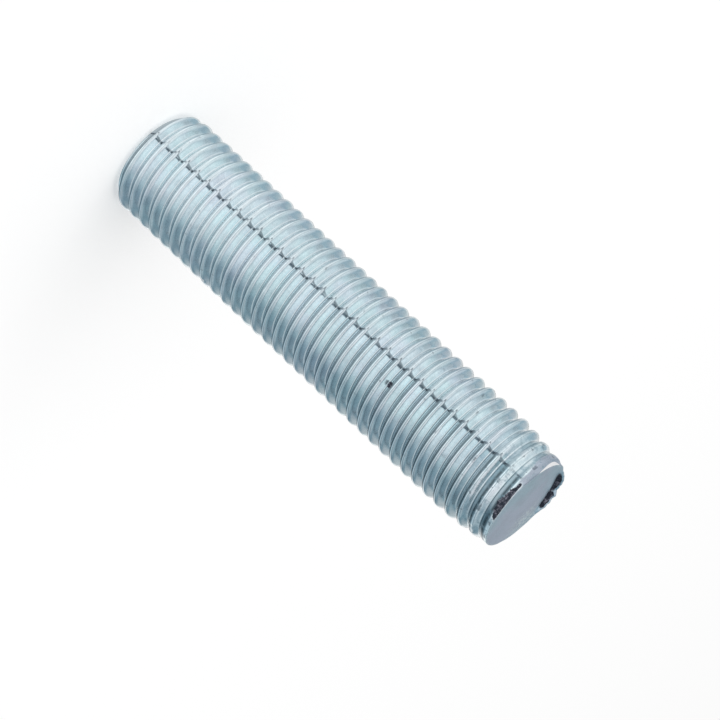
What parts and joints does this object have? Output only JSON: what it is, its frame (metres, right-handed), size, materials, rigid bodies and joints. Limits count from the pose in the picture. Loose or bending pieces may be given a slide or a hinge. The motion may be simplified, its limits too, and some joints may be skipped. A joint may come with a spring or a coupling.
{
  "type": "threaded rod",
  "caption": "Straight zinc-plated steel rod, threaded over its whole length, with one square chamfered end and one sheared, burred end.",
  "frame": {"origin": "centre of the plain end's face, on the rod's axis", "axes": "+Z along the rod's axis, from the plain end up to the burred end; +X and +Y are square to it, and the middle of a crest meets the plane of the burred end 60.5 degrees from +X towards +Y"},
  "size_m": [0.0156, 0.0156, 0.0706],
  "materials": {
    "zinc_plated_steel": "bright blue-clear zinc plate over rolled steel"
  },
  "bodies": {
    "root": {"threaded_rod": "zinc_plated_steel"}
  },
  "joints": []
}
